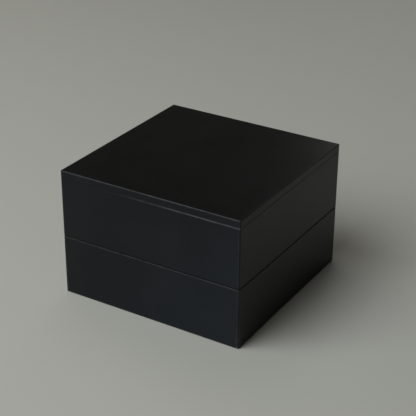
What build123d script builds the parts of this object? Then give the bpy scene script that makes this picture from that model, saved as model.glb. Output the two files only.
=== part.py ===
from build123d import *
import os

# Square stacking bento box of lacquered wood, in millimetres: a lower tier, an upper
# tier and a lid, flush on the outside.  The origin is the centre of the underside,
# +Z is up, -Y is the front and +X is to the right.
#
# Each tier is four mitred side boards round a base board.  A thin lining stands inside
# them and rises above the rim, where it locates the tier or the lid that sits on top.

# Driving dimensions
BOX = 150.0             # outside width and depth
TIER_HEIGHT = 47.5      # rim to rim, so one tier's share of the stack
LID_HEIGHT = 6.0
WALL = 6.0              # thickness of the side boards and width of the lid's rim
LINING = 2.5            # thickness of the lining boards
BASE_THICK = 4.0

# The fit between one piece and the next
LIP = 3.0               # how far the lining stands above the rim
RECESS = 3.5            # depth of the hollow under a base board and under the lid's top board
LIP_SETBACK = 0.4       # clearance round the lip, on each side
BASE_GROOVE = 2.5       # how far the base board reaches into the side boards

# Mitre splines: thin slips across each corner joint, hidden in the wood
SPLINE_THICK = 1.4
SPLINE_WIDTH = 4.4
SPLINE_MARGIN = 2.5     # wood left above the base groove and below the rim
SPLINE_INSET = 3.3      # from the outer faces to the middle of the spline

# Eased arrises
UPRIGHT_ROUND = 1.1     # the upright corners
FOOT_ROUND = 1.0        # round the bottom of each tier
RIM_ROUND = 0.35        # round the rim of each tier
LID_ROUND = 0.7         # round the top of the lid
LID_MOUTH_ROUND = 0.3   # round the bottom of the lid
LEAD_IN = 0.5           # chamfer on the lip and inside the mouth that drops over it

# Worked out from the above
INSIDE = BOX - 2 * WALL
BASE = INSIDE + 2 * BASE_GROOVE
LINING_OUTSIDE = INSIDE
LINING_INSIDE = INSIDE - 2 * LINING
LIP_OUTSIDE = INSIDE - 2 * LIP_SETBACK
BASE_TOP = RECESS + BASE_THICK
SPLINE_BOTTOM = BASE_TOP + SPLINE_MARGIN
SPLINE_LENGTH = TIER_HEIGHT - SPLINE_MARGIN - SPLINE_BOTTOM
SPLINE_RADIUS = (BOX / 2 - SPLINE_INSET) * 2**0.5

# Bottom of each piece of the stack
TIERS = {"lower": 0.0, "upper": TIER_HEIGHT}
LID_BOTTOM = 2 * TIER_HEIGHT

# The four sides, by their turn about +Z from the front
SIDES = {"front": 0, "right": 90, "back": 180, "left": 270}


def eased_block(bottom, height, bottom_round, top_round):
    """Square block with rounded upright corners and rounded outer arrises."""
    with BuildPart() as block:
        with BuildSketch(Plane.XY.offset(bottom)):
            RectangleRounded(BOX, BOX, UPRIGHT_ROUND)
        extrude(amount=height)
        fillet(block.faces().sort_by(Axis.Z)[0].edges(), bottom_round)
        fillet(block.faces().sort_by(Axis.Z)[-1].edges(), top_round)
    return block.part


def open_ring(block, bottom, height):
    """The block with a square hole right through, eased at its lower mouth."""
    with BuildPart() as ring:
        add(block)
        with BuildSketch(Plane.XY.offset(bottom)):
            Rectangle(INSIDE, INSIDE)
        extrude(amount=height, mode=Mode.SUBTRACT)
        mouth = ring.faces().sort_by(Axis.Z)[0].inner_wires()[0]
        chamfer(mouth.edges(), LEAD_IN)
    return ring.part


def spline_set(bottom):
    """Four slips of wood, one square across each mitre."""
    with BuildPart() as splines:
        with BuildSketch(Plane.XY.offset(bottom + SPLINE_BOTTOM)):
            with PolarLocations(SPLINE_RADIUS, 4, start_angle=45):
                Rectangle(SPLINE_THICK, SPLINE_WIDTH)
        extrude(amount=SPLINE_LENGTH)
    return splines.part


def base_board(bottom):
    """Square board whose edges sit in the grooves of the side boards."""
    with BuildPart() as board:
        with BuildSketch(Plane.XY.offset(bottom + RECESS)):
            Rectangle(BASE, BASE)
        extrude(amount=BASE_THICK)
    return board.part


def wall_ring(bottom):
    """All four side boards of a tier in one, grooved for the base and the splines."""
    block = eased_block(bottom, TIER_HEIGHT, FOOT_ROUND, RIM_ROUND)
    with BuildPart() as ring:
        add(open_ring(block, bottom, TIER_HEIGHT))
        add(base_board(bottom), mode=Mode.SUBTRACT)
        add(spline_set(bottom), mode=Mode.SUBTRACT)
    return ring.part


def lining_ring(bottom):
    """All four lining boards in one, from the base board to the top of the lip."""
    rim = bottom + TIER_HEIGHT
    with BuildPart() as ring:
        with BuildSketch(Plane.XY.offset(bottom + BASE_TOP)):
            Rectangle(LINING_OUTSIDE, LINING_OUTSIDE)
        extrude(amount=TIER_HEIGHT - BASE_TOP)
        with BuildSketch(Plane.XY.offset(rim)):
            Rectangle(LIP_OUTSIDE, LIP_OUTSIDE)
        extrude(amount=LIP)
        with BuildSketch(Plane.XY.offset(rim + LIP)):
            Rectangle(LINING_INSIDE, LINING_INSIDE)
        extrude(amount=BASE_TOP - TIER_HEIGHT - LIP, mode=Mode.SUBTRACT)
        chamfer(ring.faces().sort_by(Axis.Z)[-1].edges(), LEAD_IN)
    return ring.part


def write(part, name):
    """Label a finished piece and write its STEP file."""
    part.label = name
    export_step(part, f"parts/{name}.step")


def write_sides(ring, name):
    """Cut a ring along the corner diagonals into its four mitred sides."""
    for side, turn in SIDES.items():
        with BuildPart() as piece:
            add(ring)
            with BuildSketch(Plane.XY.rotated((0, 0, turn))):
                with BuildLine():
                    Polyline((0, 0), (BOX, -BOX), (-BOX, -BOX), close=True)
                make_face()
            extrude(amount=LID_BOTTOM + LID_HEIGHT, mode=Mode.INTERSECT)
        write(piece.part, f"{name}_{side}")


os.makedirs("parts", exist_ok=True)

for tier, tier_bottom in TIERS.items():
    write_sides(wall_ring(tier_bottom), f"{tier}_wall")
    write_sides(lining_ring(tier_bottom), f"{tier}_lining")
    write(base_board(tier_bottom), f"{tier}_base_board")
    write(spline_set(tier_bottom), f"{tier}_corner_splines")

lid_block = eased_block(LID_BOTTOM, LID_HEIGHT, LID_MOUTH_ROUND, LID_ROUND)
with BuildPart() as lid_top_board:
    add(lid_block)
    split(bisect_by=Plane.XY.offset(LID_BOTTOM + RECESS), keep=Keep.TOP)
write(lid_top_board.part, "lid_top_board")

with BuildPart() as lid_rim:
    add(open_ring(lid_block, LID_BOTTOM, LID_HEIGHT))
    split(bisect_by=Plane.XY.offset(LID_BOTTOM + RECESS), keep=Keep.BOTTOM)
write_sides(lid_rim.part, "lid_rim")
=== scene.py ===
"""Looks for the square stacking bento box: black lacquered wood on a plain pale floor."""
import math

import bmesh
import bpy
from mathutils import Matrix, Vector


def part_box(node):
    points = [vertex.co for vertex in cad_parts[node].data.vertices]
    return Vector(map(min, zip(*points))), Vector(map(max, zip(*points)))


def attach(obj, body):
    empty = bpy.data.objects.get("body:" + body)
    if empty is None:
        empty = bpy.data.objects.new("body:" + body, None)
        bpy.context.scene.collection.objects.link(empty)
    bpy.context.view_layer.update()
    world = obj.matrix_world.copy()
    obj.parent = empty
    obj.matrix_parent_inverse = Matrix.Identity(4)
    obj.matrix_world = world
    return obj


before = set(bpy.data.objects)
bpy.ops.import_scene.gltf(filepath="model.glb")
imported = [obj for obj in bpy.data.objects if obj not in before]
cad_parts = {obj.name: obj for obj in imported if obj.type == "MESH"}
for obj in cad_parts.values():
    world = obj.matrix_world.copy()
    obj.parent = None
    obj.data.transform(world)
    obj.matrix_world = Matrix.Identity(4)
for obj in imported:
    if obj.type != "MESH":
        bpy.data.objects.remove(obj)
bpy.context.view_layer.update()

MM = 0.001

# ---------------------------------------------------------------- sizes from the frame

TIERS = ("lower", "upper")
wall_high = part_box("lower_wall_front")[1]
rim_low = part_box("lid_rim_front")[0]
lid_low, lid_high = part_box("lid_top_board")
lip_low, lip_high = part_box("lower_lining_front")

HALF = lid_high.x                       # half the box's outside width
TOP = lid_high.z
LID_BOARD = lid_low.z                   # the underside of the lid's top board
LID_SEAM = rim_low.z                    # where the lid meets the upper tier
LOWER_SEAM = wall_high.z                # where the upper tier meets the lower one
LIP_OUTSIDE = lip_high.x                # half the outside width of the lining
LIP_INSIDE = LIP_OUTSIDE - (lip_high.y - lip_low.y)


# ---------------------------------------------------------------- camera

VIEW_AZIMUTH = math.radians(31.3)       # 0 looks along +Y, with +X to the right
VIEW_ELEVATION = math.radians(26.93)
VIEW_ROLL = math.radians(0.36)
VIEW_DISTANCE = 0.8946
VIEW_AIM = Vector((0.0013, 0.0046, 0.0569))
LENS = 102.2                            # in millimetres, as is the sensor
SENSOR = 36.0
NEAREST = 0.05                          # nothing closer to the camera is drawn


def make_camera():
    turn = (
        Matrix.Rotation(VIEW_AZIMUTH, 4, "Z")
        @ Matrix.Rotation(math.pi / 2 - VIEW_ELEVATION, 4, "X")
        @ Matrix.Rotation(VIEW_ROLL, 4, "Z")
    )
    data = bpy.data.cameras.new("view")
    data.lens = LENS
    data.sensor_width = SENSOR
    data.clip_start = NEAREST
    camera = bpy.data.objects.new("view", data)
    camera.matrix_world = Matrix.Translation(VIEW_AIM) @ turn @ Matrix.Translation((0, 0, VIEW_DISTANCE))
    bpy.context.scene.collection.objects.link(camera)
    bpy.context.scene.camera = camera


# ---------------------------------------------------------------- light and floor

ROOM_COLOUR = (1.0, 0.92, 0.78, 1)      # the light that comes from all round
ROOM_STRENGTH = 0.041
LIGHT_AIM = Vector((0, 0, 0.05))
DAYLIGHT = (0.92, 0.975, 1.0)
PALE = (1.0, 0.98, 0.95)
WARM = (1.0, 0.88, 0.70)

# Where each light stands: azimuth from +X towards +Y and elevation in degrees, and metres away.
# Then its width and height in metres, its power in watts and its colour.
LIGHTS = {
    "window": (241, 48, 2.0, (1.6, 1.7), 36.5, DAYLIGHT),
    "back_sky": (121, 62, 2.2, (1.2, 1.2), 3.5, DAYLIGHT),
    "rear_fill": (165, 30, 2.4, (1.4, 1.0), 2.6, WARM),
    "far_glow": (107, 19, 2.4, (0.3, 0.8), 0.9, PALE),
    "left_glow": (130, 13, 2.4, (1.0, 0.4), 0.14, PALE),
}

FLOOR_SIZE = 4.0
FLOOR_COLOUR = (0.52, 0.505, 0.455, 1)
FLOOR_ROUGHNESS = 0.6


def area_light(name, azimuth, elevation, distance, size, power, colour):
    """Soft rectangular light, facing the box."""
    around, up = math.radians(azimuth), math.radians(elevation)
    direction = Vector((math.cos(around) * math.cos(up), math.sin(around) * math.cos(up), math.sin(up)))
    data = bpy.data.lights.new(name, "AREA")
    data.shape = "RECTANGLE"
    data.size, data.size_y = size
    data.energy = power
    data.color = colour
    light = bpy.data.objects.new(name, data)
    light.location = LIGHT_AIM + direction * distance
    light.rotation_euler = direction.to_track_quat("Z", "Y").to_euler()
    bpy.context.scene.collection.objects.link(light)


def make_light():
    world = bpy.data.worlds.new("studio")
    bpy.context.scene.world = world
    world.use_nodes = True
    background = world.node_tree.nodes["Background"]
    background.inputs["Color"].default_value = ROOM_COLOUR
    background.inputs["Strength"].default_value = ROOM_STRENGTH
    for name, settings in LIGHTS.items():
        area_light(name, *settings)


def make_floor():
    bpy.ops.mesh.primitive_plane_add(size=FLOOR_SIZE, location=(0, 0, 0))
    floor = bpy.context.object
    floor.name = "floor"
    material = bpy.data.materials.new("floor")
    material.use_nodes = True
    shader = material.node_tree.nodes["Principled BSDF"]
    shader.inputs["Base Color"].default_value = FLOOR_COLOUR
    shader.inputs["Roughness"].default_value = FLOOR_ROUGHNESS
    floor.data.materials.append(material)


# ---------------------------------------------------------------- material nodes

SURFACE_IOR = 1.5
DOT_CORE = 0.4                          # how much of a dot's radius is fully covered
FAR = 1.0                               # further than any level of the box
COLOUR_A = 6                            # the sockets of a Mix node that mixes colours
COLOUR_B = 7
COLOUR_OUT = 2


class Graph:
    """The nodes of one material. Each method adds nodes and gives back an output socket."""

    def __init__(self, name):
        self.material = bpy.data.materials.new(name)
        self.material.use_nodes = True
        self.nodes = self.material.node_tree.nodes
        self.links = self.material.node_tree.links
        self.shader = self.nodes["Principled BSDF"]
        coordinates = self.nodes.new("ShaderNodeTexCoord")
        self.place = coordinates.outputs["Object"]
        self.x, self.y, self.z = self.split(self.place)
        self.facing = self.split(coordinates.outputs["Normal"])

    def feed(self, socket, value):
        if isinstance(value, bpy.types.NodeSocket):
            self.links.new(value, socket)
        else:
            socket.default_value = value

    def split(self, vector):
        node = self.nodes.new("ShaderNodeSeparateXYZ")
        self.feed(node.inputs[0], vector)
        return node.outputs

    def point(self, x, y, z):
        node = self.nodes.new("ShaderNodeCombineXYZ")
        for socket, value in zip(node.inputs, (x, y, z)):
            self.feed(socket, value)
        return node.outputs[0]

    def math(self, operation, first, second=0.0):
        node = self.nodes.new("ShaderNodeMath")
        node.operation = operation
        self.feed(node.inputs[0], first)
        self.feed(node.inputs[1], second)
        return node.outputs[0]

    def total(self, *values):
        result = values[0]
        for value in values[1:]:
            result = self.math("ADD", result, value)
        return result

    def product(self, *values):
        result = values[0]
        for value in values[1:]:
            result = self.math("MULTIPLY", result, value)
        return result

    def gap(self, first, second):
        """How far apart two values are."""
        return self.math("ABSOLUTE", self.math("SUBTRACT", first, second))

    def fade(self, value, start, end, low=0.0, high=1.0):
        """Smooth step that is low up to start and high past end."""
        node = self.nodes.new("ShaderNodeMapRange")
        node.interpolation_type = "SMOOTHSTEP"
        for socket, number in zip(node.inputs, (value, start, end, low, high)):
            self.feed(socket, number)
        return node.outputs[0]

    def scaled(self, sizes, turn=0.0, place=None):
        """The place counted in steps of the three sizes, after a turn about +Z."""
        turned = self.nodes.new("ShaderNodeMapping")
        turned.inputs["Rotation"].default_value = (0, 0, math.radians(turn))
        self.feed(turned.inputs["Vector"], place or self.place)
        node = self.nodes.new("ShaderNodeMapping")
        node.inputs["Scale"].default_value = [1 / size for size in sizes]
        self.feed(node.inputs["Vector"], turned.outputs[0])
        return node.outputs[0]

    def noise(self, size, detail=2.0, twist=0.0, turn=0.0, place=None):
        """Cloudy value about 0.5. The size of its features is one number, or one for each axis."""
        sizes = size if isinstance(size, tuple) else (size, size, size)
        node = self.nodes.new("ShaderNodeTexNoise")
        node.inputs["Scale"].default_value = 1.0
        node.inputs["Detail"].default_value = detail
        node.inputs["Distortion"].default_value = twist
        self.feed(node.inputs["Vector"], self.scaled(sizes, turn, place))
        return node.outputs[0]

    def dots(self, spacing, radius):
        """Scattered round dots: 1 inside a dot and 0 outside."""
        node = self.nodes.new("ShaderNodeTexVoronoi")
        node.inputs["Scale"].default_value = 1 / spacing
        self.feed(node.inputs["Vector"], self.place)
        return self.fade(node.outputs["Distance"], radius / spacing, DOT_CORE * radius / spacing)

    def blend(self, amount, first, second):
        node = self.nodes.new("ShaderNodeMix")
        node.data_type = "RGBA"
        self.feed(node.inputs["Factor"], amount)
        self.feed(node.inputs[COLOUR_A], first)
        self.feed(node.inputs[COLOUR_B], second)
        return node.outputs[COLOUR_OUT]

    def strongest(self, marks, weights):
        """The greatest of the marks, each times its weight."""
        result = 0.0
        for mark, weight in weights.items():
            result = self.math("MAXIMUM", result, self.math("MULTIPLY", marks[mark], weight))
        return result

    def weighted(self, base, marks, weights):
        """The base and each mark times its weight, added up."""
        changes = [self.math("MULTIPLY", marks[mark], weight) for mark, weight in weights.items()]
        return self.total(base, *changes)

    def finish(self, marks, look):
        """Connect the shader: what the marks do to the look's colour, roughness and surface."""
        colour = look["colour"]
        for mark, (strength, tint) in look["tints"].items():
            colour = self.blend(self.math("MULTIPLY", marks[mark], strength), colour, tint)
        bump = self.nodes.new("ShaderNodeBump")
        bump.inputs["Strength"].default_value = 1.0
        bump.inputs["Distance"].default_value = 1.0     # so that the height is in metres
        self.feed(bump.inputs["Height"], self.weighted(0.0, marks, look["heights"]))
        self.feed(self.shader.inputs["Normal"], bump.outputs[0])
        self.feed(self.shader.inputs["Base Color"], colour)
        roughness = self.weighted(look["roughness"], marks, look["roughening"])
        self.feed(self.shader.inputs["Roughness"], roughness)
        self.shader.inputs["IOR"].default_value = SURFACE_IOR
        self.shader.inputs["Specular IOR Level"].default_value = look["specular"]
        return self.material


def arris_distances(graph, half, levels):
    """How far a point is from a square block's upright arrises, and from its rings at the levels."""
    away_x = graph.math("ABSOLUTE", graph.x)
    away_y = graph.math("ABSOLUTE", graph.y)
    to_face = graph.gap(half, graph.math("MAXIMUM", away_x, away_y))
    to_corner = graph.math("SUBTRACT", half, graph.math("MINIMUM", away_x, away_y))
    to_level = FAR
    for level in levels:
        to_level = graph.math("MINIMUM", graph.gap(graph.z, level), to_level)
    return to_corner, graph.math("MAXIMUM", to_face, to_level)


# ---------------------------------------------------------------- what each material's marks do
#
# A material is a base look, changed by marks that run from 0 to 1 over the surface. Each tint
# is laid over the ones before it, at a strength. The roughening is added to the roughness. The
# heights, in metres, are how far a full mark stands above the surface or lies below it.

DULL_BLACK = (0.0048, 0.0058, 0.0080, 1)
# Painted reflection: the bluish light laid on the faces that look to the front.
BLUE_BLACK = (0.0092, 0.0136, 0.0190, 1)
# Painted shade: the faces that look up are darker and more neutral.
TOP_SHADE_BLACK = (0.0032, 0.0033, 0.0034, 1)
# Painted shade in the seam, on the foot of the upper tier.
SEAM_SHADE_BLACK = (0.0014, 0.0014, 0.0014, 1)
INNER_BLACK = (0.0048, 0.0047, 0.0046, 1)
# A lighter grey: cloudy haze, arrises lighter partly from wear and partly as a painted highlight, and a
# painted highlight line beside the upright arrises.
RUBBED_AND_HIGHLIGHT_GREY = (0.027, 0.0275, 0.029, 1)
# A grey: real wear on chips, the foot, scuffs and the lips inside, and a painted highlight on the lid's
# front seam.
WORN_AND_HIGHLIGHT_GREY = (0.115, 0.12, 0.13, 1)
DUST = (0.07, 0.072, 0.075, 1)
EARLY_WOOD = (0.56, 0.40, 0.235, 1)
LATE_WOOD = (0.40, 0.245, 0.12, 1)
PORE = (0.30, 0.18, 0.085, 1)

OUTER_LOOK = {
    "colour": DULL_BLACK,
    "roughness": 0.27,
    "specular": 0.20,
    "tints": {
        # painted reflection: bluish on the front faces, stronger towards the lower right
        "blue_reflection": (1.0, BLUE_BLACK),
        # painted shade: the faces that look up are darker
        "up": (1.0, TOP_SHADE_BLACK),
        "haze": (0.08, RUBBED_AND_HIGHLIGHT_GREY),
        # arrises lighter, partly wear and partly a painted highlight
        "rubbed_and_highlight": (1.0, RUBBED_AND_HIGHLIGHT_GREY),
        # painted highlight: a lighter line beside the upright arrises
        "edge_highlight": (0.55, RUBBED_AND_HIGHLIGHT_GREY),
        "nibs": (0.5, DUST),
        "fine_nibs": (0.22, DUST),
        "hairlines": (0.05, DUST),
        # painted shade in the seam above the lower tier
        "seam_shade": (1.0, SEAM_SHADE_BLACK),
        # wear, and a painted highlight along the lid's front seam
        "worn_and_highlight": (1.0, WORN_AND_HIGHLIGHT_GREY),
    },
    "roughening": {
        "mist": 0.04,
        "smudge": -0.015,
        "rubbed_and_highlight": -0.03,
        "lid_seam": 0.35,
        "seam_shade": 0.26,
        "burnish_and_highlight": -0.46,
    },
    "heights": {
        "grain": 0.0035 * MM,
        "peel": 0.004 * MM,
        "mist": 0.0006 * MM,
        "nibs": 0.04 * MM,
        "fine_nibs": 0.012 * MM,
        "hairlines": -0.002 * MM,
        "chips": -0.03 * MM,
        "foot": -0.01 * MM,
        "mitres": -0.012 * MM,
    },
}
# Chips, foot and scuffs are wear; the lid seam's share is a painted highlight.
WEAR_AND_HIGHLIGHT_STRENGTHS = {"chips": 0.4, "foot": 0.4, "scuffs": 0.48, "burnish_and_highlight": 0.54}

INNER_LOOK = {
    "colour": INNER_BLACK,
    "roughness": 0.33,
    "specular": 0.35,
    "tints": {
        "haze": (0.15, RUBBED_AND_HIGHLIGHT_GREY),
        "hairlines": (0.35, DUST),
        "nibs": (0.5, DUST),
        # on the inside only the wear of the lips
        "rubbed_and_highlight": (0.55, WORN_AND_HIGHLIGHT_GREY),
    },
    "roughening": {
        "mist": 0.05,
        "smudge": -0.05,
        "hairlines": 0.12,
    },
    "heights": {
        "grain": 0.0022 * MM,
        "peel": 0.010 * MM,
        "hairlines": -0.003 * MM,
        "nibs": 0.035 * MM,
        "mitres": -0.012 * MM,
    },
}

WOOD_LOOK = {
    "colour": EARLY_WOOD,
    "roughness": 0.62,
    "specular": 0.4,
    "tints": {
        "band": (1.0, LATE_WOOD),
        "pores": (0.45, PORE),
    },
    "roughening": {"fibre": 0.2},
    "heights": {
        "fibre": 0.02 * MM,
        "band": 0.01 * MM,
    },
}


# ---------------------------------------------------------------- marks on all the lacquer
#
# Here and below, a pair of lengths is where a mark starts and where it is full. A pair of LEVELS
# says the same of the cloudy pattern, about 0.5, that scatters the mark over the surface. LEAST
# is how much of the mark is left where that pattern is low.

HAIRLINE_SIZE = (22 * MM, 0.16 * MM, 5 * MM)
HAIRLINE_LEVELS = (0.655, 0.70)
SCRATCHED_AREA = 14 * MM
SCRATCHED_LEVELS = (0.5, 0.62)
MITRE_REACH = (0.22 * MM, 0.04 * MM)
MITRE_END = 0.2 * MM                    # the length over which a line fades out


def wall_grain(graph):
    """Grain runs level round the side boards."""
    return graph.point(graph.math("ADD", graph.x, graph.y), graph.z, 0.0)


def lid_grain(graph):
    """Grain runs from left to right in the lid."""
    return graph.point(graph.x, graph.y, graph.z)


def upright_grain(graph):
    """Grain runs up the splines."""
    return graph.point(graph.z, graph.x, graph.y)


def hairlines(graph, turns):
    """Fine straight scratches at the given turns in degrees, broken up along their length."""
    result = 0.0
    for turn in turns:
        line = graph.fade(graph.noise(HAIRLINE_SIZE, detail=1, turn=turn), *HAIRLINE_LEVELS)
        area = graph.fade(graph.noise(SCRATCHED_AREA, turn=turn), *SCRATCHED_LEVELS)
        result = graph.math("MAXIMUM", result, graph.product(line, area))
    return result


def mitre_lines(graph):
    """The hairlines where two side boards meet at a corner, 1 on the line."""
    away_x = graph.math("ABSOLUTE", graph.x)
    away_y = graph.math("ABSOLUTE", graph.y)
    return graph.product(
        graph.fade(graph.gap(away_x, away_y), *MITRE_REACH),
        graph.fade(graph.math("MAXIMUM", away_x, away_y), LIP_INSIDE - MITRE_END, LIP_INSIDE),
        graph.fade(graph.z, LID_BOARD, LID_BOARD - MITRE_END),
    )


# ---------------------------------------------------------------- the outer lacquer

OUTER_GRAIN = (60 * MM, 0.9 * MM, 0.9 * MM)     # along the grain, then across it
OUTER_PEEL = 3.2 * MM
OUTER_MIST = 0.35 * MM
OUTER_CLOUD = 45 * MM
HAZE_LEVELS = (0.3, 0.7)
OUTER_SMUDGE = (20 * MM, 20 * MM, 26 * MM)
OUTER_SMUDGE_LEVELS = (0.5, 0.75)
FACING_FRONT = (-0.4, -0.9)             # the Y of a normal as it turns to the front
FACING_UP = (0.4, 0.9)                  # the Z of a normal as it turns up
# Where the painted bluish reflection on the front reaches, and how far clouds shift it.
BLUE_REFLECTION_REACH = (-60 * MM, 100 * MM)      # measured to the right and downwards from the origin
BLUE_REFLECTION_WANDER = 60 * MM                  # how far the clouds shift it

NIB_SPACING = 11 * MM
NIB_RADIUS = 0.5 * MM
FINE_NIB_SPACING = 4.3 * MM
FINE_NIB_RADIUS = 0.24 * MM
NIBS_ON_TOP = 0.25                      # how strong the nibs are on top
OUTER_HAIRLINE_TURNS = (33, -48)

PATCH_SIZE = 7 * MM                     # the arrises are worn in patches of about this size
# The arrises are lighter, partly from wear and partly as a painted highlight.
RUB_AND_HIGHLIGHT_REACH = (1.5 * MM, 0.1 * MM)
RUB_AND_HIGHLIGHT_LEVELS = (0.3, 0.7)
RUB_AND_HIGHLIGHT_LEAST = 0.35
UPRIGHT_REACH = (2.0 * MM, 1.0 * MM)    # the upright arrises are rubbed far less
UPRIGHT_RUB_AND_HIGHLIGHT = 0.15
# Painted shade on the foot of the upper tier, just above the seam between the tiers.
SEAM_SHADE_FOOT = (0.0, 0.1 * MM)          # above the seam between the tiers
SEAM_SHADE_TOP = (1.6 * MM, 0.9 * MM)
# Where the painted highlight line beside the upright arrises lies.
EDGE_HIGHLIGHT_OUTER = (0.6 * MM, 0.9 * MM)
EDGE_HIGHLIGHT_INNER = (1.9 * MM, 1.3 * MM)
EDGE_HIGHLIGHT_LEVELS = (0.35, 0.6)
EDGE_HIGHLIGHT_LEAST = 0.25
CHIP_SIZE = 0.8 * MM
CHIP_REACH = (0.6 * MM, 0.3 * MM)
CHIP_LEVELS = (0.62, 0.70)
CHIPPED_PATCHES = (0.52, 0.62)
FOOT_PATCH = 2.5 * MM
FOOT_REACH = (0.35 * MM, 0.05 * MM)
FOOT_LEVELS = (0.38, 0.62)
SCUFF_SIZE = (1.5 * MM, 1.5 * MM, 2.4 * MM)
SCUFF_REACH = (2.4 * MM, 1.6 * MM)
SCUFF_HEIGHT = (13 * MM, 3 * MM)
SCUFF_LEVELS = (0.47, 0.60)

LID_SEAM_REACH = (0.8 * MM, 0.3 * MM)
LID_SEAM_DEPTH = (1.0 * MM - HALF, 0.45 * MM - HALF)    # the Y at which the front begins
# The lid seam's burnish and its painted highlight grow towards the right.
BURNISH_AND_HIGHLIGHT_ALONG = (-50 * MM, 50 * MM)      # the more to the right, the more burnished
BURNISH_AND_HIGHLIGHT_PATCH = 6 * MM
BURNISH_AND_HIGHLIGHT_LEVELS = (0.3, 0.62)
BURNISH_AND_HIGHLIGHT_LEAST = 0.55


def outer_coat(graph, grain_place):
    """The coat itself: grain that just shows through, orange peel, mist and haze, and a painted bluish
    reflection on the front.
    """
    cloud = graph.noise(OUTER_CLOUD, twist=0.6)
    smudge = graph.noise(OUTER_SMUDGE, twist=0.5)
    facing_y, facing_z = graph.facing[1:]
    # A painted bluish reflection on the faces that look to the front, stronger towards the lower right.
    down = graph.math("MULTIPLY", graph.z, -1.0)
    across = graph.total(graph.x, down, graph.math("MULTIPLY", cloud, BLUE_REFLECTION_WANDER))
    blue_reflection = graph.fade(across, *BLUE_REFLECTION_REACH)
    return {
        "grain": graph.noise(OUTER_GRAIN, detail=3, place=grain_place(graph)),
        "peel": graph.noise(OUTER_PEEL, detail=1),
        "mist": graph.noise(OUTER_MIST),
        "haze": graph.fade(cloud, *HAZE_LEVELS),
        "smudge": graph.fade(smudge, *OUTER_SMUDGE_LEVELS),
        "blue_reflection": graph.product(blue_reflection, graph.fade(facing_y, *FACING_FRONT)),
        # painted shade on the faces that look up
        "up": graph.fade(facing_z, *FACING_UP),
    }


def dust_marks(graph, up):
    """Nibs of dust under the coat, and hairlines. The nibs are weaker where it faces up."""
    nibs = graph.dots(NIB_SPACING, NIB_RADIUS)
    return {
        "nibs": graph.product(nibs, graph.fade(up, 0.0, 1.0, 1.0, NIBS_ON_TOP)),
        "fine_nibs": graph.dots(FINE_NIB_SPACING, FINE_NIB_RADIUS),
        "hairlines": hairlines(graph, OUTER_HAIRLINE_TURNS),
    }


def arris_wear(graph):
    """Arrises lighter, partly from wear and partly as a painted highlight, a painted highlight line
    beside the upright ones, chips, and scuffs at the foot.

    The foot of the upper tier, just above its seam, is painted darker as shade in the seam, made
    rougher, and left unrubbed.
    """
    upright, ring = arris_distances(graph, HALF, (0.0, LOWER_SEAM, TOP))
    arris = graph.math("MINIMUM", upright, ring)
    patches = graph.noise(PATCH_SIZE, detail=3)
    above_seam = graph.math("SUBTRACT", graph.z, LOWER_SEAM)
    # Painted shade: a dark strip just above the seam between the tiers.
    seam_shade = graph.product(
        graph.fade(above_seam, *SEAM_SHADE_FOOT),
        graph.fade(above_seam, *SEAM_SHADE_TOP),
    )
    near_arris = graph.math(
        "MAXIMUM",
        graph.fade(ring, *RUB_AND_HIGHLIGHT_REACH),
        graph.fade(upright, *UPRIGHT_REACH, 0.0, UPRIGHT_RUB_AND_HIGHLIGHT),
    )
    return {
        "seam_shade": seam_shade,
        # Lighter arrises: partly wear, partly a painted highlight.
        "rubbed_and_highlight": graph.product(
            near_arris,
            graph.fade(patches, *RUB_AND_HIGHLIGHT_LEVELS, RUB_AND_HIGHLIGHT_LEAST, 1.0),
            graph.fade(seam_shade, 0.0, 1.0, 1.0, 0.0),
        ),
        # A painted highlight line beside the upright arrises.
        "edge_highlight": graph.product(
            graph.fade(upright, *EDGE_HIGHLIGHT_OUTER),
            graph.fade(upright, *EDGE_HIGHLIGHT_INNER),
            graph.fade(patches, *EDGE_HIGHLIGHT_LEVELS, EDGE_HIGHLIGHT_LEAST, 1.0),
        ),
        "chips": graph.product(
            graph.fade(arris, *CHIP_REACH),
            graph.fade(graph.noise(CHIP_SIZE), *CHIP_LEVELS),
            graph.fade(patches, *CHIPPED_PATCHES),
        ),
        "foot": graph.product(
            graph.fade(graph.z, *FOOT_REACH),
            graph.fade(graph.noise(FOOT_PATCH, detail=4), *FOOT_LEVELS),
        ),
        "scuffs": graph.product(
            graph.fade(upright, *SCUFF_REACH),
            graph.fade(graph.z, *SCUFF_HEIGHT),
            graph.fade(graph.noise(SCUFF_SIZE, detail=3), *SCUFF_LEVELS),
        ),
    }


def lid_seam_marks(graph):
    """The lid's seam on the front, burnished more towards the right, where a painted highlight also
    lightens it.
    """
    on_seam = graph.product(
        graph.fade(graph.gap(graph.z, LID_SEAM), *LID_SEAM_REACH),
        graph.fade(graph.y, *LID_SEAM_DEPTH),
    )
    along = graph.fade(graph.x, *BURNISH_AND_HIGHLIGHT_ALONG)
    broken = graph.fade(graph.noise(BURNISH_AND_HIGHLIGHT_PATCH, detail=3), *BURNISH_AND_HIGHLIGHT_LEVELS, BURNISH_AND_HIGHLIGHT_LEAST, 1.0)
    return {"lid_seam": on_seam, "burnish_and_highlight": graph.product(on_seam, along, broken)}


def outer_lacquer(name, grain_place):
    """Matte black lacquer over wood, with painted shade that darkens the faces that look up, and a
    painted bluish reflection on the front.
    """
    graph = Graph(name)
    marks = outer_coat(graph, grain_place)
    marks.update(dust_marks(graph, marks["up"]))
    marks.update(arris_wear(graph))
    marks.update(lid_seam_marks(graph))
    marks["mitres"] = mitre_lines(graph)
    # Wear, and the painted highlight on the lid's front seam.
    marks["worn_and_highlight"] = graph.strongest(marks, WEAR_AND_HIGHLIGHT_STRENGTHS)
    return graph.finish(marks, OUTER_LOOK)


# ---------------------------------------------------------------- the inner lacquer

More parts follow.
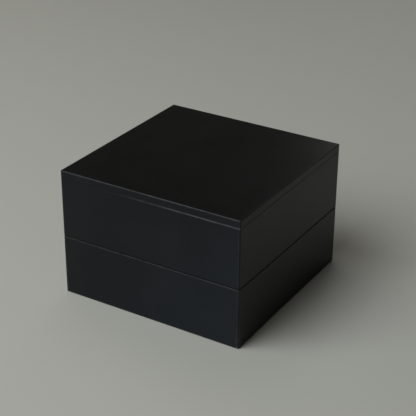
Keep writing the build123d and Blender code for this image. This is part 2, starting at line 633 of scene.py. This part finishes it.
INNER_GRAIN = (50 * MM, 1.1 * MM, 1.1 * MM)     # along the grain, then across it
INNER_PEEL = 4.5 * MM
INNER_MIST = 0.3 * MM
INNER_CLOUD = 30 * MM
INNER_SMUDGE = 14 * MM
INNER_SMUDGE_LEVELS = (0.5, 0.7)
INNER_NIB_RADIUS = 0.28 * MM
INNER_HAIRLINE_TURNS = (24, -57)
LIP_REACH = (1.1 * MM, 0.3 * MM)
LIP_PATCH = 6 * MM
LIP_LEVELS = (0.35, 0.65)
LIP_LEAST = 0.25


def worn_lips(graph):
    """Where the arrises of the lips are rubbed, outside and inside."""
    lip_tops = [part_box(f"{tier}_lining_front")[1].z for tier in TIERS]
    outside = graph.math("MINIMUM", *arris_distances(graph, LIP_OUTSIDE, lip_tops))
    inside = arris_distances(graph, LIP_INSIDE, lip_tops)[1]
    return graph.product(
        graph.fade(graph.math("MINIMUM", outside, inside), *LIP_REACH),
        graph.fade(graph.noise(LIP_PATCH, detail=3), *LIP_LEVELS, LIP_LEAST, 1.0),
    )


def inner_lacquer():
    """Satin black lacquer of the inside: thin over the boards, hairline scratches, worn lips."""
    graph = Graph("inner_lacquer")
    cloud = graph.noise(INNER_CLOUD, twist=0.8)
    smudge = graph.noise(INNER_SMUDGE, detail=3, twist=1.5)
    marks = {
        "grain": graph.noise(INNER_GRAIN, detail=3, place=wall_grain(graph)),
        "peel": graph.noise(INNER_PEEL, detail=1),
        "mist": graph.noise(INNER_MIST),
        "haze": graph.fade(cloud, *HAZE_LEVELS),
        "smudge": graph.fade(smudge, *INNER_SMUDGE_LEVELS),
        "hairlines": hairlines(graph, INNER_HAIRLINE_TURNS),
        "nibs": graph.dots(NIB_SPACING, INNER_NIB_RADIUS),
        "rubbed_and_highlight": worn_lips(graph),
        "mitres": mitre_lines(graph),
    }
    return graph.finish(marks, INNER_LOOK)


# ---------------------------------------------------------------- the bare wood

RING_SIZE = (80 * MM, 1.6 * MM, 5 * MM)
RING_LEVELS = (0.42, 0.60)
FIBRE_SIZE = (9 * MM, 0.12 * MM, 0.12 * MM)
PORE_LEVELS = (0.45, 0.7)


def bare_wood():
    """Pale cypress of the splines, with fine growth rings and pores along its length."""
    graph = Graph("bare_wood")
    place = upright_grain(graph)
    rings = graph.noise(RING_SIZE, twist=0.3, place=place)
    fibre = graph.noise(FIBRE_SIZE, detail=3, place=place)
    marks = {
        "band": graph.fade(rings, *RING_LEVELS),
        "fibre": fibre,
        "pores": graph.fade(fibre, *PORE_LEVELS),
    }
    return graph.finish(marks, WOOD_LOOK)


# ---------------------------------------------------------------- lacquer in the inside corners

COVE_RADIUS = 1.8 * MM                  # the hollow round that the lacquer leaves in a corner
COVE_STEPS = 8
FEATHER = 0.004 * MM                    # how far its thin edges sink into the boards
BELOW_LIP = 0.55 * MM                   # it stops this far under the top of the lip
WELD = 0.001 * MM                       # corners closer than this are one corner


def add_block(shape, half, bottom, top):
    """A square block on the Z axis. Gives back its vertices, edges and faces."""
    verts = bmesh.ops.create_cube(shape, size=1.0)["verts"]
    bmesh.ops.scale(shape, vec=(2 * half, 2 * half, top - bottom), verts=verts)
    bmesh.ops.translate(shape, vec=(0, 0, (bottom + top) / 2), verts=verts)
    edges = {edge for vert in verts for edge in vert.link_edges}
    faces = {face for vert in verts for face in vert.link_faces}
    return [*verts, *edges, *faces]


def add_rounds(shape, half, bottom, top):
    """The hollow rounds alone: up the four corners of a square space and round its floor."""
    add_block(shape, half, bottom, top)
    corners = [edge for edge in shape.edges if min(vert.co.z for vert in edge.verts) < top - COVE_RADIUS]
    made = bmesh.ops.bevel(
        shape, geom=corners, offset=COVE_RADIUS, segments=COVE_STEPS, profile=0.5, affect="EDGES"
    )
    for face in made["faces"]:
        face.smooth = True
    bmesh.ops.delete(shape, geom=[face for face in shape.faces if not face.smooth], context="FACES")


def add_backs(shape, half, bottom, top):
    """The flat backs of the rounds, as wide as they are, on the boards that they fill the corner of."""
    flats = add_block(shape, half, bottom, top)
    inner = half - COVE_RADIUS
    floor_edge = bottom + COVE_RADIUS
    cuts = [((side * inner, 0, 0), (1, 0, 0)) for side in (-1, 1)]
    cuts += [((0, side * inner, 0), (0, 1, 0)) for side in (-1, 1)]
    cuts += [((0, 0, floor_edge), (0, 0, 1))]
    for point, normal in cuts:
        flats = bmesh.ops.bisect_plane(shape, geom=flats, plane_co=point, plane_no=normal)["geom"]
    uncovered = []
    for face in (item for item in flats if isinstance(item, bmesh.types.BMFace)):
        middle = face.calc_center_median()
        near_sides = (abs(middle.x) > inner, abs(middle.y) > inner, middle.z < floor_edge)
        in_corner = sum(near_sides) >= 2
        if not in_corner or middle.z > top - WELD:
            uncovered.append(face)
    bmesh.ops.delete(shape, geom=uncovered, context="FACES")


def corner_lacquer(tier, material):
    """The coves of lacquer round the floor and up the corners of one tier, as one closed piece."""
    half = LIP_INSIDE + FEATHER
    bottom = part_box(f"{tier}_base_board")[1].z - FEATHER
    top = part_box(f"{tier}_lining_front")[1].z - BELOW_LIP
    name = f"{tier}_corner_lacquer"
    shape = bmesh.new()
    add_rounds(shape, half, bottom, top)
    add_backs(shape, half, bottom, top)
    bmesh.ops.remove_doubles(shape, verts=shape.verts, dist=WELD)
    bmesh.ops.holes_fill(shape, edges=[edge for edge in shape.edges if edge.is_boundary])
    bmesh.ops.recalc_face_normals(shape, faces=shape.faces)
    mesh = bpy.data.meshes.new(name)
    shape.to_mesh(mesh)
    shape.free()
    mesh.materials.append(material)
    coves = bpy.data.objects.new(name, mesh)
    bpy.context.scene.collection.objects.link(coves)
    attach(coves, f"{tier}_tier")


# ---------------------------------------------------------------- the whole scene


def dress():
    """Every piece gets a material chosen by its name. The lid's grain runs its own way."""
    wall = outer_lacquer("wall_lacquer", wall_grain)
    lid = outer_lacquer("lid_lacquer", lid_grain)
    inner = inner_lacquer()
    wood = bare_wood()
    for name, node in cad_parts.items():
        if "spline" in name:
            material = wood
        elif "lining" in name or "base_board" in name:
            material = inner
        elif name.startswith("lid"):
            material = lid
        else:
            material = wall
        node.data.materials.clear()
        node.data.materials.append(material)
    for tier in TIERS:
        corner_lacquer(tier, inner)


bpy.context.scene.view_settings.view_transform = "Standard"
make_camera()
make_light()
make_floor()
dress()
